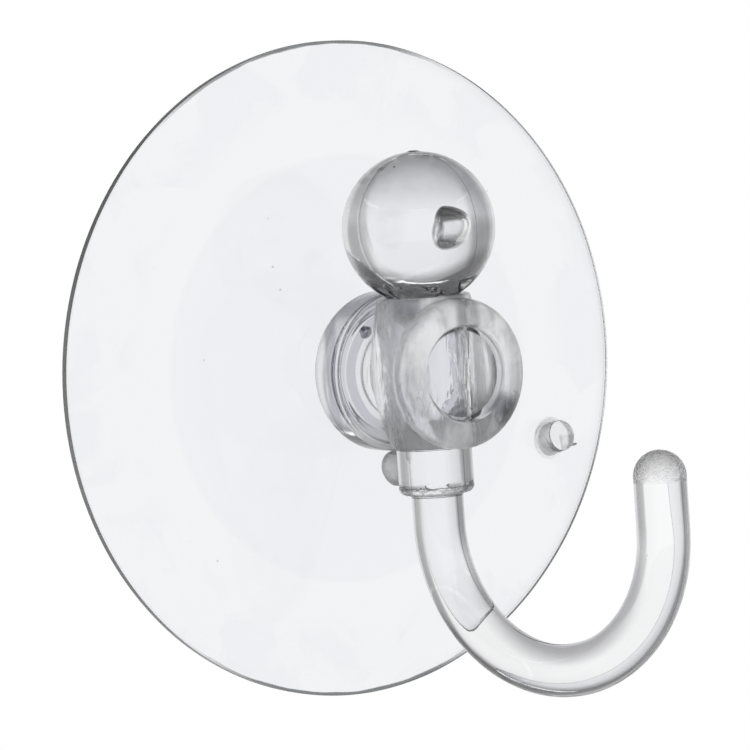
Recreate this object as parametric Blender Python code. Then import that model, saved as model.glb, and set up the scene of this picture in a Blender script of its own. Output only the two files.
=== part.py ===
"""A clear suction cup with a swivelling rod hook.

The soft cup is one moulding: a thin dished disc, a grip flange, and a head with a hole
right across it. The hard hook is the other: a ball, a thick column that turns in the
hole, a collar with a lug, and a round rod bent into a J.

Frame: metres, +Z up, the pane that the cup sits on is the plane y = 0, the cup stands
out from it towards -Y, and the origin is the cup's centre on the pane.
"""

import math

import bmesh
import bpy
import numpy as np
from mathutils import Vector

# Disc, all heights measured from the pane
DISC_RADIUS = 0.0425
LAND_WIDTH = 0.0012
LIP_THICKNESS = 0.0008
HOLLOW_DEPTH = 0.0022
SKIRT_HEIGHT = 0.0022
ZONE_RADIUS = 0.0280
ZONE_STEP = 0.0005
ZONE_STEP_RUN = 0.0004
CORE_HEIGHT = 0.0056

# Neck and grip flange
NECK_RADIUS = 0.0070
NECK_FILLET = 0.0012
FLANGE_RADIUS = 0.0103
FLANGE_THICKNESS = 0.0038
FLANGE_MID_HEIGHT = 0.0092

# Head: web behind the column, barrel around it, knob in front of it
AXIS_HEIGHT = 0.0193
WEB_RADIUS = 0.0056
WEB_FILLET = 0.0008
BARREL_RADIUS = 0.0068
BARREL_END_WALL = 0.0005
HEAD_HALF_HEIGHT = 0.0098
KNOB_RADIUS = 0.0095
KNOB_REACH = 0.0082
KNOB_EDGE = 0.0014
KNOB_RIM_WIDTH = 0.0009
KNOB_BACK_SLOPE = 0.0034
WINDOW_RADIUS = 0.0055
WINDOW_DEPTH = 0.0010
WINDOW_EDGE = 0.0003

# Peel peg on the skirt
PEG_RADIUS = 0.00205
PEG_HEIGHT = 0.0028
PEG_EDGE = 0.0004
PEG_DISTANCE = 0.0339
PEG_ANGLE = math.radians(-22.3)
PEG_LEAN = math.radians(12.0)

# Hook, its axis upright through the head
COLUMN_RADIUS = 0.0045
HOLE_CLEARANCE = 0.0003
SEAT_CLEARANCE = 0.0004
BALL_RADIUS = 0.0097
COLLAR_STEP = 0.0003
COLLAR_LENGTH = 0.0052
COLLAR_EDGE = 0.0012
ROD_RADIUS = 0.0033
SHANK_LENGTH = 0.0038
BEND_RADIUS = 0.0182
TIP_LENGTH = 0.0065
LUG_REACH = 0.0089
LUG_HEIGHT = 0.0038
LUG_THICKNESS = 0.0026
REST_SWIVEL = math.radians(13.2)

# What follows from the sizes above
HOLE_RADIUS = COLUMN_RADIUS + HOLE_CLEARANCE
BARREL_END_RADIUS = HOLE_RADIUS + BARREL_END_WALL
KNOB_FACE_HEIGHT = AXIS_HEIGHT + KNOB_REACH
BALL_HEIGHT = HEAD_HALF_HEIGHT + SEAT_CLEARANCE + math.sqrt(BALL_RADIUS**2 - BARREL_END_RADIUS**2)
COLLAR_RADIUS = COLUMN_RADIUS + COLLAR_STEP
COLLAR_TOP = -HEAD_HALF_HEIGHT - SEAT_CLEARANCE
COLLAR_BOTTOM = COLLAR_TOP - COLLAR_LENGTH
BEND_HEIGHT = COLLAR_BOTTOM - SHANK_LENGTH
LUG_MID_HEIGHT = -max(FLANGE_RADIUS, HEAD_HALF_HEIGHT) - SEAT_CLEARANCE - LUG_HEIGHT / 2

# Facets
DISC_STEPS = 96
HEAD_STEPS = 48
ROD_STEPS = 32
SHARP_ANGLE = math.radians(35.0)


def clear_scene():
    """Remove what a new file starts with."""
    for obj in list(bpy.data.objects):
        bpy.data.objects.remove(obj, do_unlink=True)


def plastic(name, colour, roughness, ior):
    """A clear plastic for one moulding."""
    material = bpy.data.materials.new(name)
    material.use_nodes = True
    shader = material.node_tree.nodes["Principled BSDF"]
    shader.inputs["Base Color"].default_value = (*colour, 1.0)
    shader.inputs["Roughness"].default_value = roughness
    shader.inputs["Metallic"].default_value = 0.0
    shader.inputs["IOR"].default_value = ior
    shader.inputs["Transmission Weight"].default_value = 0.95
    return material


def arc(centre, radius, start, end, count):
    """Points on an arc in the (radius, height) plane, angles in degrees from outward."""
    turns = np.radians(np.linspace(start, end, count))
    return [(centre[0] + radius * math.cos(t), centre[1] + radius * math.sin(t)) for t in turns]


def curve(start, end, power, count):
    """Points from start to end whose height changes with a power of the run."""
    shares = np.linspace(0.0, 1.0, count)
    run, rise = end[0] - start[0], end[1] - start[1]
    return [(start[0] + run * s, start[1] + rise * s**power) for s in shares]


def skin(mesh, rings, first, last):
    """Join rings of corners into one closed skin between two end corners."""
    steps = len(rings[0])
    for step in range(steps):
        after = (step + 1) % steps
        mesh.faces.new((first, rings[0][after], rings[0][step]))
        for low, high in zip(rings, rings[1:]):
            mesh.faces.new((low[step], low[after], high[after], high[step]))
        mesh.faces.new((last, rings[-1][step], rings[-1][after]))


def finish(name, mesh, material=None):
    """Turn a bmesh into a smooth-shaded object with its faces pointing out."""
    bmesh.ops.recalc_face_normals(mesh, faces=mesh.faces)
    data = bpy.data.meshes.new(name)
    mesh.to_mesh(data)
    mesh.free()
    data.shade_smooth()
    data.set_sharp_from_angle(angle=SHARP_ANGLE)
    if material:
        data.materials.append(material)
    obj = bpy.data.objects.new(name, data)
    bpy.context.scene.collection.objects.link(obj)
    return obj


def turned(name, profile, steps, material=None):
    """A solid turned about its own Z from a profile that starts and ends on the axis."""
    mesh = bmesh.new()
    first = mesh.verts.new((0.0, 0.0, profile[0][1]))
    last = mesh.verts.new((0.0, 0.0, profile[-1][1]))
    turns = [2 * math.pi * step / steps for step in range(steps)]
    rings = [
        [mesh.verts.new((radius * math.cos(t), radius * math.sin(t), height)) for t in turns]
        for radius, height in profile[1:-1]
    ]
    skin(mesh, rings, first, last)
    return finish(name, mesh, material)


def swept(name, stations, steps, material=None):
    """A round bar through stations (out, up, direction, radius) of the -Y, Z plane.

    The direction is the angle of the bar's run from straight down, turning outwards.
    The first and last stations are the bar's two ends and have no radius.
    """
    mesh = bmesh.new()
    turns = [2 * math.pi * step / steps for step in range(steps)]
    rings = []
    for out, up, direction, radius in stations[1:-1]:
        across = Vector((0.0, -math.cos(direction), math.sin(direction)))
        centre = Vector((0.0, -out, up))
        side = Vector((1.0, 0.0, 0.0))
        ring = [centre + radius * (math.cos(t) * side + math.sin(t) * across) for t in turns]
        rings.append([mesh.verts.new(corner) for corner in ring])
    first = mesh.verts.new((0.0, -stations[0][0], stations[0][1]))
    last = mesh.verts.new((0.0, -stations[-1][0], stations[-1][1]))
    skin(mesh, rings, first, last)
    return finish(name, mesh, material)


def tool(obj):
    """Mark a solid that only shapes another one."""
    obj.hide_render = True
    obj.display_type = "WIRE"
    return obj


def combine(obj, other, operation):
    """Add another solid to an object, or cut it away."""
    modifier = obj.modifiers.new(f"{operation.lower()} {other.name}", "BOOLEAN")
    modifier.operation = operation
    modifier.solver = "EXACT"
    modifier.object = tool(other)


def skirt_front(radius):
    """Height of the disc's front face at a radius outside the thick zone."""
    outer = DISC_RADIUS - LIP_THICKNESS / 2
    share = (outer - radius) / (outer - ZONE_RADIUS)
    return LIP_THICKNESS + (SKIRT_HEIGHT - LIP_THICKNESS) * share


def disc_profile():
    """The dished back face, the lip and the front face up to the neck."""
    land_inner = DISC_RADIUS - LIP_THICKNESS / 2 - LAND_WIDTH
    hollow = [(r, HOLLOW_DEPTH * (1 - (r / land_inner) ** 2)) for r in np.linspace(0.0, land_inner, 8)]
    lip = arc((DISC_RADIUS - LIP_THICKNESS / 2, LIP_THICKNESS / 2), LIP_THICKNESS / 2, -90, 90, 5)
    zone_foot = (ZONE_RADIUS + ZONE_STEP_RUN, skirt_front(ZONE_RADIUS + ZONE_STEP_RUN))
    zone_top = (ZONE_RADIUS, SKIRT_HEIGHT + ZONE_STEP)
    neck_foot = (NECK_RADIUS + NECK_FILLET, CORE_HEIGHT)
    return hollow + lip + [zone_foot] + curve(zone_top, neck_foot, 1.5, 5)


def flange_profile():
    """The neck fillet, the neck and the round-edged flange."""
    neck = arc((NECK_RADIUS + NECK_FILLET, CORE_HEIGHT + NECK_FILLET), NECK_FILLET, -112, -180, 4)
    edge = FLANGE_THICKNESS / 2
    rim = arc((FLANGE_RADIUS - edge, FLANGE_MID_HEIGHT), edge, -90, 90, 8)
    return neck + [(NECK_RADIUS, FLANGE_MID_HEIGHT - edge)] + rim


def knob_profile():
    """The web, the slope out to the knob, its rounded edge and the round window."""
    flange_front = FLANGE_MID_HEIGHT + FLANGE_THICKNESS / 2
    web = arc((WEB_RADIUS + WEB_FILLET, flange_front + WEB_FILLET), WEB_FILLET, -90, -180, 4)
    rim_back = KNOB_FACE_HEIGHT - KNOB_EDGE - KNOB_RIM_WIDTH
    slope = curve((KNOB_RADIUS, rim_back), (WEB_RADIUS, rim_back - KNOB_BACK_SLOPE), 0.6, 5)[::-1]
    edge = arc((KNOB_RADIUS - KNOB_EDGE, KNOB_FACE_HEIGHT - KNOB_EDGE), KNOB_EDGE, 0, 90, 5)
    floor = KNOB_FACE_HEIGHT - WINDOW_DEPTH
    window = [(WINDOW_RADIUS + WINDOW_EDGE, KNOB_FACE_HEIGHT), (WINDOW_RADIUS, floor), (0.0, floor)]
    return web + slope + edge + window


def barrel_profile():
    """The wall around the column, thick at mid height and thin at its two ends."""
    heights = np.linspace(-HEAD_HALF_HEIGHT, HEAD_HALF_HEIGHT, 13)
    swell = BARREL_RADIUS - BARREL_END_RADIUS
    wall = [(BARREL_END_RADIUS + swell * math.cos(math.pi / 2 * h / HEAD_HALF_HEIGHT), h) for h in heights]
    return [(0.0, -HEAD_HALF_HEIGHT)] + wall + [(0.0, HEAD_HALF_HEIGHT)]


def peg_profile():
    """A short round peg whose root lies inside the skirt."""
    top = skirt_front(PEG_DISTANCE) / 2 + PEG_HEIGHT
    edge = arc((PEG_RADIUS - PEG_EDGE, top - PEG_EDGE), PEG_EDGE, 0, 90, 4)
    return [(0.0, 0.0), (PEG_RADIUS, 0.0)] + edge + [(0.0, top)]


def suction_cup(material):
    """The soft moulding, with the cross hole that the hook turns in."""
    facing_out = (math.pi / 2, 0.0, 0.0)
    profile = disc_profile() + flange_profile() + knob_profile()
    cup = turned("suction_cup", profile, DISC_STEPS, material)
    cup.rotation_euler = facing_out

    barrel = turned("barrel_shape", barrel_profile(), HEAD_STEPS)
    barrel.location = (0.0, -AXIS_HEIGHT, 0.0)
    combine(cup, barrel, "UNION")

    peg = turned("peg_shape", peg_profile(), ROD_STEPS)
    peg.rotation_euler = (math.pi / 2 - PEG_LEAN, 0.0, 0.0)
    root = skirt_front(PEG_DISTANCE) / 2
    peg.location = (PEG_DISTANCE * math.cos(PEG_ANGLE), -root, PEG_DISTANCE * math.sin(PEG_ANGLE))
    combine(cup, peg, "UNION")

    reach = HEAD_HALF_HEIGHT + KNOB_RADIUS
    bore = [(0.0, -reach), (HOLE_RADIUS, -reach), (HOLE_RADIUS, reach), (0.0, reach)]
    hole = turned("hole_shape", bore, HEAD_STEPS)
    hole.location = barrel.location
    combine(cup, hole, "DIFFERENCE")
    return cup


def column_stations():
    """The ball, the column and the collar, all about the upright axis."""
    joint = math.asin(COLUMN_RADIUS / BALL_RADIUS)
    turns = np.linspace(0.0, math.pi - joint, 16)
    ball = [(0.0, BALL_HEIGHT + BALL_RADIUS * math.cos(t), 0.0, BALL_RADIUS * math.sin(t)) for t in turns]
    column = [(0.0, COLLAR_TOP, 0.0, COLUMN_RADIUS)]
    edge = arc((COLLAR_RADIUS - COLLAR_EDGE, COLLAR_BOTTOM + COLLAR_EDGE), COLLAR_EDGE, 0, -90, 5)
    collar = [(0.0, COLLAR_TOP - COLLAR_STEP, 0.0, COLLAR_RADIUS)]
    collar += [(0.0, height, 0.0, radius) for radius, height in edge]
    return ball + column + collar + [(0.0, COLLAR_BOTTOM, 0.0, ROD_RADIUS)]


def rod_stations():
    """The half-circle bend, the upright tip and its round end."""
    turns = np.linspace(0.0, math.pi, 25)
    bend = [
        (BEND_RADIUS * (1 - math.cos(t)), BEND_HEIGHT - BEND_RADIUS * math.sin(t), t, ROD_RADIUS)
        for t in turns
    ]
    reach = 2 * BEND_RADIUS
    caps = np.linspace(0.0, math.pi / 2, 7)
    tip = BEND_HEIGHT + TIP_LENGTH
    end = [(reach, tip + ROD_RADIUS * math.sin(t), math.pi, ROD_RADIUS * math.cos(t)) for t in caps]
    return bend + end


def hook(material):
    """The hard moulding, its origin on the axis that it turns about."""
    body = swept("hook", column_stations() + rod_stations(), ROD_STEPS, material)
    body.location = (0.0, -AXIS_HEIGHT, 0.0)
    body.rotation_euler = (0.0, 0.0, REST_SWIVEL)

    swell = LUG_HEIGHT / 2
    nose = arc((0.0, LUG_REACH - swell), swell, 0, 90, 7)
    lug = turned("lug_shape", [(0.0, 0.0), (swell, 0.0)] + nose, ROD_STEPS // 2)
    for corner in lug.data.vertices:
        corner.co.x *= LUG_THICKNESS / LUG_HEIGHT
    lug.parent = body
    lug.location = (0.0, 0.0, LUG_MID_HEIGHT)
    lug.rotation_euler = (-math.pi / 2, 0.0, 0.0)
    combine(body, lug, "UNION")
    return body


def main():
    """Build the cup and the hook in it."""
    clear_scene()
    suction_cup(plastic("clear_soft_plastic", (0.92, 0.93, 0.95), 0.12, 1.52))
    hook(plastic("clear_hard_plastic", (0.93, 0.93, 0.94), 0.04, 1.49))


main()
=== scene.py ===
"""A clear suction cup with a swivelling rod hook, dressed for its portrait.

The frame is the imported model's: metres, +Z up, the pane is the plane y = 0 and the cup
stands out from it towards -Y. Lengths below are in metres unless a name says otherwise.
In the finishes, side, across and up are a point's three coordinates, height is its
distance from the pane, from_axis its distance from the cup's axis, and from_column its
distance from the upright axis of the swivel.
"""

import logging
import math
from collections.abc import Callable
from dataclasses import dataclass, field
from enum import Enum
from typing import Any

import bmesh
import bpy
import numpy as np
from mathutils import Matrix


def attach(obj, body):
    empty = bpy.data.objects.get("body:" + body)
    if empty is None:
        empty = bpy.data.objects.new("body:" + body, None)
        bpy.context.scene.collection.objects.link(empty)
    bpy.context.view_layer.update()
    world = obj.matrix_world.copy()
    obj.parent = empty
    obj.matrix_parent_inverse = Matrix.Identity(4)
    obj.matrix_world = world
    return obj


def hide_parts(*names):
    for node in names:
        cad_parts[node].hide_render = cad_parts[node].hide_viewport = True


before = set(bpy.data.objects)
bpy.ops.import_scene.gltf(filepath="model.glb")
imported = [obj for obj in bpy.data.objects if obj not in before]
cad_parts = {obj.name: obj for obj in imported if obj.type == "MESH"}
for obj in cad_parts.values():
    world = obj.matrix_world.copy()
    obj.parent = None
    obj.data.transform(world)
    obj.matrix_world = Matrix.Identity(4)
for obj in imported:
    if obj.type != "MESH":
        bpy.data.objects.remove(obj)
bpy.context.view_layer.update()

log = logging.getLogger("suction_cup_hook")

AXIS_HEIGHT = 0.0193
REST_SWIVEL = math.radians(13.2)
SHARP_ANGLE = math.radians(38.0)
NO_STEP = 1e-7

Array = np.ndarray
Socket = bpy.types.NodeSocket
Values = dict[Any, Any]
Span = tuple[float, float]
Triple = tuple[float, float, float]
WHITE: Triple = (1.0, 1.0, 1.0)


class Operation(Enum):
    """How one solid shapes another."""

    ADD = "UNION"
    CUT = "DIFFERENCE"


@dataclass(frozen=True)
class Skin:
    """A surface as whole arrays: points (n, 3), four-sided faces and three-sided faces."""

    points: Array
    quads: Array
    triangles: Array

    def volume(self) -> float:
        """Signed volume: a sixth of the sum of each triangle's corner product.

        Returns:
            The volume, positive where the faces point outwards.
        """
        fans = np.vstack([self.quads[:, [0, 1, 2]], self.quads[:, [0, 2, 3]], self.triangles])
        a, b, c = (self.points[fans[:, corner]] for corner in range(3))
        return float(np.einsum("ij,ij->i", a, np.cross(b, c)).sum() / 6.0)

    def flipped(self) -> "Skin":
        """The same surface with its faces pointing the other way."""
        return Skin(self.points, self.quads[:, ::-1], self.triangles[:, ::-1])

    def outwards(self) -> "Skin":
        """The same surface with its faces pointing out of what it encloses."""
        return self if self.volume() > 0.0 else self.flipped()

    def inwards(self) -> "Skin":
        """The same surface as the wall of a hollow, its faces pointing into the hollow."""
        return self.outwards().flipped()

    def moved(self, turn: Matrix, place: list[float]) -> "Skin":
        """The same surface, turned about the origin and then shifted."""
        return Skin(self.points @ np.array(turn).T + np.array(place), self.quads, self.triangles)

    def mesh(self, name: str) -> bpy.types.Mesh:
        """The surface as a mesh.

        Args:
            name: The mesh's name.

        Returns:
            The new mesh.
        """
        data = bpy.data.meshes.new(name)
        data.from_pydata(self.points.tolist(), [], self.quads.tolist() + self.triangles.tolist())
        return data


def skin_of(rings: Array, first: Array, last: Array) -> Skin:
    """Join rings of points into a closed skin between two end points.

    Point (row, column) is joined to (row, column + 1) and (row + 1, column), columns
    wrap round, and each end point closes its ring as a fan.

    Args:
        rings: Points as rows by columns by 3.
        first: The pole before the first ring.
        last: The pole after the last ring.

    Returns:
        The closed surface, its faces pointing outwards.
    """
    rows, columns = rings.shape[:2]
    index = np.arange(rows * columns).reshape(rows, columns) + 1
    after = np.roll(index, -1, axis=1)
    quads = beside(index[:-1], after[:-1], after[1:], index[1:]).reshape(-1, 4)
    caps = [beside(0, after[0], index[0]), beside(rows * columns + 1, index[-1], after[-1])]
    points = np.vstack([np.atleast_2d(first), rings.reshape(-1, 3), np.atleast_2d(last)])
    return Skin(points, quads, np.vstack(caps)).outwards()


def piece_from(name: str, skin: Skin) -> bpy.types.Object:
    """Put a skin into a mesh object at the origin.

    Args:
        name: The object's name.
        skin: Its surface.

    Returns:
        The object, shaded smooth.
    """
    data = skin.mesh(name)
    data.validate()
    data.shade_smooth()
    obj = bpy.data.objects.new(name, data)
    bpy.context.scene.collection.objects.link(obj)
    return obj


def reshape(obj: bpy.types.Object, tool: bpy.types.Object, operation: Operation) -> None:
    """Add a solid to an object, or cut it away, and keep only the result.

    Args:
        obj: The object whose mesh changes.
        tool: The other solid, which is removed.
        operation: Whether it is added or cut away.
    """
    modifier = obj.modifiers.new(operation.name.lower(), "BOOLEAN")
    modifier.operation = operation.value
    modifier.solver = "EXACT"
    modifier.object = tool
    evaluated = obj.evaluated_get(bpy.context.evaluated_depsgraph_get())
    data = bpy.data.meshes.new_from_object(evaluated)
    obj.modifiers.clear()
    old, obj.data = obj.data, data
    data.name = obj.name
    bpy.data.meshes.remove(old)
    bpy.data.objects.remove(tool, do_unlink=True)


def take_in(obj: bpy.types.Object, skin: Skin) -> None:
    """Add a skin's faces to an object's mesh as they are, such as the wall of a bubble.

    Args:
        obj: The object whose mesh grows.
        skin: The surface to add.
    """
    extra = skin.mesh("extra")
    both = bmesh.new()
    both.from_mesh(obj.data)
    both.from_mesh(extra)
    both.to_mesh(obj.data)
    both.free()
    bpy.data.meshes.remove(extra)


def shade(obj: bpy.types.Object) -> None:
    """Shade a finished piece smooth, apart from its sharp edges."""
    obj.data.shade_smooth()
    obj.data.set_sharp_from_angle(angle=SHARP_ANGLE)


def beside(*parts: Any) -> Array:
    """Arrays and numbers side by side along a new last axis, each spread to their common shape."""
    return np.stack(np.broadcast_arrays(*parts), axis=-1)


def full_turn(count: int) -> Array:
    """Even angles once round, without the last one that would repeat the first."""
    return np.linspace(0.0, 2 * math.pi, count, endpoint=False)


def arc(centre: Span, radius: float, start: float, end: float, count: int) -> Array:
    """Points on a circular arc: centre plus radius times (cosine, sine) of the angle.

    Args:
        centre: The arc's centre as (outward, upward).
        radius: Its radius.
        start: First angle in degrees from outward.
        end: Last angle in degrees.
        count: How many points.

    Returns:
        The points, count by 2.
    """
    turns = np.radians(np.linspace(start, end, count))
    return beside(centre[0] + radius * np.cos(turns), centre[1] + radius * np.sin(turns))


def line(start: Span, end: Span, count: int) -> Array:
    """Evenly spaced points from start up to, but without, end."""
    return np.linspace(start, end, count, endpoint=False)


def joined(*parts: Any) -> Array:
    """Profile parts one after the other, without points that repeat.

    Args:
        parts: Points of each part, n by 2.

    Returns:
        The whole profile.
    """
    points = np.vstack([np.atleast_2d(part) for part in parts])
    steps = np.linalg.norm(np.diff(points, axis=0), axis=1)
    return points[np.concatenate([[True], steps > NO_STEP])]


def turned(profile: Array, turns: Array) -> Array:
    """A profile turned about -Y: (r cos t, -height, r sin t).

    Args:
        profile: Its points as (radius, height).
        turns: The angles t.

    Returns:
        Points as rows by columns by 3.
    """
    radius, height = profile[:, 0][:, None], profile[:, 1][:, None]
    return beside(radius * np.cos(turns), -height, radius * np.sin(turns))


def eased(values: Array, width: int) -> Array:
    """Values smoothed by a bell curve.

    Args:
        values: The values in order.
        width: The bell's spread in samples.

    Returns:
        As many smoothed values.
    """
    reach = np.arange(-3 * width, 3 * width + 1)
    bell = np.exp(-0.5 * (reach / width) ** 2)
    return np.convolve(np.pad(values, 3 * width, mode="edge"), bell / bell.sum(), mode="valid")


def smooth_max(one: Array, two: Array, blend: float) -> Array:
    """The larger of two radii, eased over where they differ by less than blend.

    Adds blend / 4 times the square of (1 - difference / blend) to the larger one.

    Args:
        one: First radii.
        two: Second radii.
        blend: Width of the eased zone.

    Returns:
        The eased larger radii.
    """
    near = np.clip(1.0 - np.abs(one - two) / blend, 0.0, 1.0)
    return np.maximum(one, two) + near**2 * blend / 4.0


def ball_skin(centre: Array, axes: Array, rows: int, columns: int) -> Skin:
    """A closed ball: centre plus three half axes weighed by sphere coordinates.

    Args:
        centre: The ball's centre.
        axes: Its three half axes as rows of a 3 by 3 array.
        rows: Rings between the poles.
        columns: Points in a ring.

    Returns:
        The surface, its faces pointing outwards.
    """
    polar = np.linspace(0.0, math.pi, rows + 2)[1:-1, None]
    turn = full_turn(columns)[None, :]
    unit = beside(np.sin(polar) * np.cos(turn), np.sin(polar) * np.sin(turn), np.cos(polar))
    return skin_of(centre + unit @ axes, centre + axes[2], centre - axes[2])


def operator(operation: str, reflected: bool = False) -> Callable[["Signal", Any], "Signal"]:
    """A method that adds a Math node on a signal and another operand.

    Args:
        operation: The node's operation.
        reflected: Whether the other operand comes first.

    Returns:
        The method.
    """

    def method(self: "Signal", other: Any) -> "Signal":
        """The operation on this signal and other."""
        return self.graph.maths(operation, *((other, self) if reflected else (self, other)))

    return method


class Signal:
    """A number carried by a socket: arithmetic on it adds Math nodes."""

    def __init__(self, graph: "Graph", socket: Socket) -> None:
        """Wrap a socket of a graph."""
        self.graph = graph
        self.socket = socket

    __add__, __radd__ = operator("ADD"), operator("ADD", reflected=True)
    __sub__, __rsub__ = operator("SUBTRACT"), operator("SUBTRACT", reflected=True)
    __mul__, __rmul__ = operator("MULTIPLY"), operator("MULTIPLY", reflected=True)
    __truediv__, __rtruediv__ = operator("DIVIDE"), operator("DIVIDE", reflected=True)

    def __neg__(self) -> "Signal":
        """This with its sign turned."""
        return self * -1.0

    def __abs__(self) -> "Signal":
        """This without its sign."""
        return self.math("ABSOLUTE")

    def math(self, operation: str, *others: Any) -> "Signal":
        """One Math node with this signal first.

        Args:
            operation: The node's operation.
            others: The other operands, numbers or signals.

        Returns:
            The node's result.
        """
        return self.graph.maths(operation, self, *others)

    def ramp(self, low: float, high: float) -> "Signal":
        """A smooth step from 0 at low to 1 at high, wherever the two lie.

        Args:
            low: Where the step starts.
            high: Where it ends.

        Returns:
            The step's value.
        """
        falls = low > high
        values = {"Value": self, "From Min": min(low, high), "From Max": max(low, high)}
        values |= {"To Min": float(falls), "To Max": float(not falls)}
        return self.graph.signal("MapRange", "Result", values, interpolation_type="SMOOTHSTEP")


Signals = dict[str, Signal]


def length_of(*parts: Signal) -> Signal:
    """The root of the sum of the parts' squares."""
    first, *others = (part * part for part in parts)
    return sum(others, first).math("SQRT")


class Zone:
    """A part of a piece, bounded by smooth steps along named coordinates.

    Each step has two numbers: it goes from 0 at the first to 1 at the second, and a
    coordinate may have several steps.
    """

    def __init__(self, **steps: tuple[float, ...]) -> None:
        """Keep the steps by the name of their coordinate."""
        self.steps = steps

    def __call__(self, here: Signals) -> Signal:
        """The product of the steps.

        Args:
            here: The coordinates by name.

        Returns:
            1 inside the zone, 0 outside.
        """
        pairs = [(name, pair) for name, marks in self.steps.items() for pair in zip(marks[::2], marks[1::2])]
        ramps = [here[name].ramp(*pair) for name, pair in pairs]
        return math.prod(ramps[1:], start=ramps[0])


@dataclass(frozen=True)
class Noise:
    """Soft noise about 0.5, or its patches where they have a span.

    The scale is in cells for each metre. Where draw is small, the pattern is drawn out.
    """

    scale: float
    detail: float
    distortion: float = 0.0
    patches: Span | None = None
    draw: Triple | None = None


@dataclass(frozen=True)
class Specks:
    """Round specks: cells for each metre, a speck's radius and the share of cells with one."""

    scale: float
    size: float
    share: float
    core: float = 0.4


@dataclass(frozen=True)
class Shade:
    """A colour and how far it covers what lies under it."""

    colour: Triple
    cover: float = 1.0


class Graph:
    """The nodes of one material or world, made in code."""

    def __init__(self, tree: bpy.types.NodeTree) -> None:
        """Start from an empty tree.

        Args:
            tree: The node tree of a material or world.
        """
        self.tree = tree
        self.point: Socket | None = None
        tree.nodes.clear()

    def node(self, kind: str, values: Values | None = None, **settings: Any) -> bpy.types.Node:
        """Add one node: its settings first, then its sockets.

        Args:
            kind: The node's type, without its prefix.
            values: Values, signals or sockets by the input's name or number.
            settings: Properties of the node by name.

        Returns:
            The node.
        """
        node = self.tree.nodes.new("ShaderNode" + kind)
        for name, value in settings.items():
            setattr(node, name, value)
        for name, value in (values or {}).items():
            socket = node.inputs[name]
            if isinstance(value, Signal):
                value = value.socket
            if isinstance(value, Socket):
                self.tree.links.new(value, socket)
            else:
                socket.default_value = (*value, 1.0) if socket.type == "RGBA" else value
        return node

    def signal(self, kind: str, output: str | int, values: Values | None = None, **settings: Any) -> Signal:
        """One output of a new node as a signal."""
        return Signal(self, self.node(kind, values, **settings).outputs[output])

    def maths(self, operation: str, *operands: Any) -> Signal:
        """One Math node on numbers and signals."""
        return self.signal("Math", 0, dict(enumerate(operands)), operation=operation)

    def place(self, coordinates: str = "Object") -> Signals:
        """The piece's own coordinates, or a world's direction.

        Args:
            coordinates: Which output of the Texture Coordinate node is read.

        Returns:
            The three coordinates by name.
        """
        self.point = self.node("TexCoord").outputs[coordinates]
        parts = self.node("SeparateXYZ", {"Vector": self.point}).outputs
        return {name: Signal(self, part) for name, part in zip(("side", "across", "up"), parts)}

    def noise(self, kind: Noise) -> Signal:
        """Soft noise on the piece's coordinates.

        Args:
            kind: Its settings.

        Returns:
            The noise, or its patches from 0 to 1.
        """
        point = self.point
        if kind.draw:
            point = self.node("VectorMath", {0: point, 1: kind.draw}, operation="MULTIPLY").outputs[0]
        values = {"Vector": point, "Scale": kind.scale, "Detail": kind.detail, "Distortion": kind.distortion}
        soft = self.signal("TexNoise", "Fac", values)
        return soft.ramp(*kind.patches) if kind.patches else soft

    def facets(self, scale: float) -> Signal:
        """Distance to the nearest of scattered points: cones whose slopes meet in creases."""
        return self.signal("TexVoronoi", "Distance", {"Vector": self.point, "Scale": scale})

    def specks(self, kind: Specks) -> Signal:
        """Scattered round specks.

        Args:
            kind: Their settings.

        Returns:
            1 inside a speck, 0 outside.
        """
        cells = self.node("TexVoronoi", {"Vector": self.point, "Scale": kind.scale}).outputs
        lot = self.signal("SeparateColor", 0, {"Color": cells["Color"]})
        near = Signal(self, cells["Distance"]).ramp(kind.size, kind.size * kind.core)
        return near * lot.math("LESS_THAN", kind.share)

    def blend(self, share: Signal, one: Any, two: Any) -> Socket:
        """A colour between two colours or colour sockets."""
        return self.node("Mix", {"Factor": share, 6: one, 7: two}, data_type="RGBA").outputs[2]

    def layered(self, colour: Socket, *layers: tuple[Signal, Shade]) -> Socket:
        """A colour under further ones, each laid on in turn.

        Args:
            colour: The lowest colour.
            layers: Where each further colour lies, and the colour with its cover.

        Returns:
            The colour seen on top.
        """
        for mask, shade_on in layers:
            colour = self.blend(mask * shade_on.cover, colour, shade_on.colour)
        return colour


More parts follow.
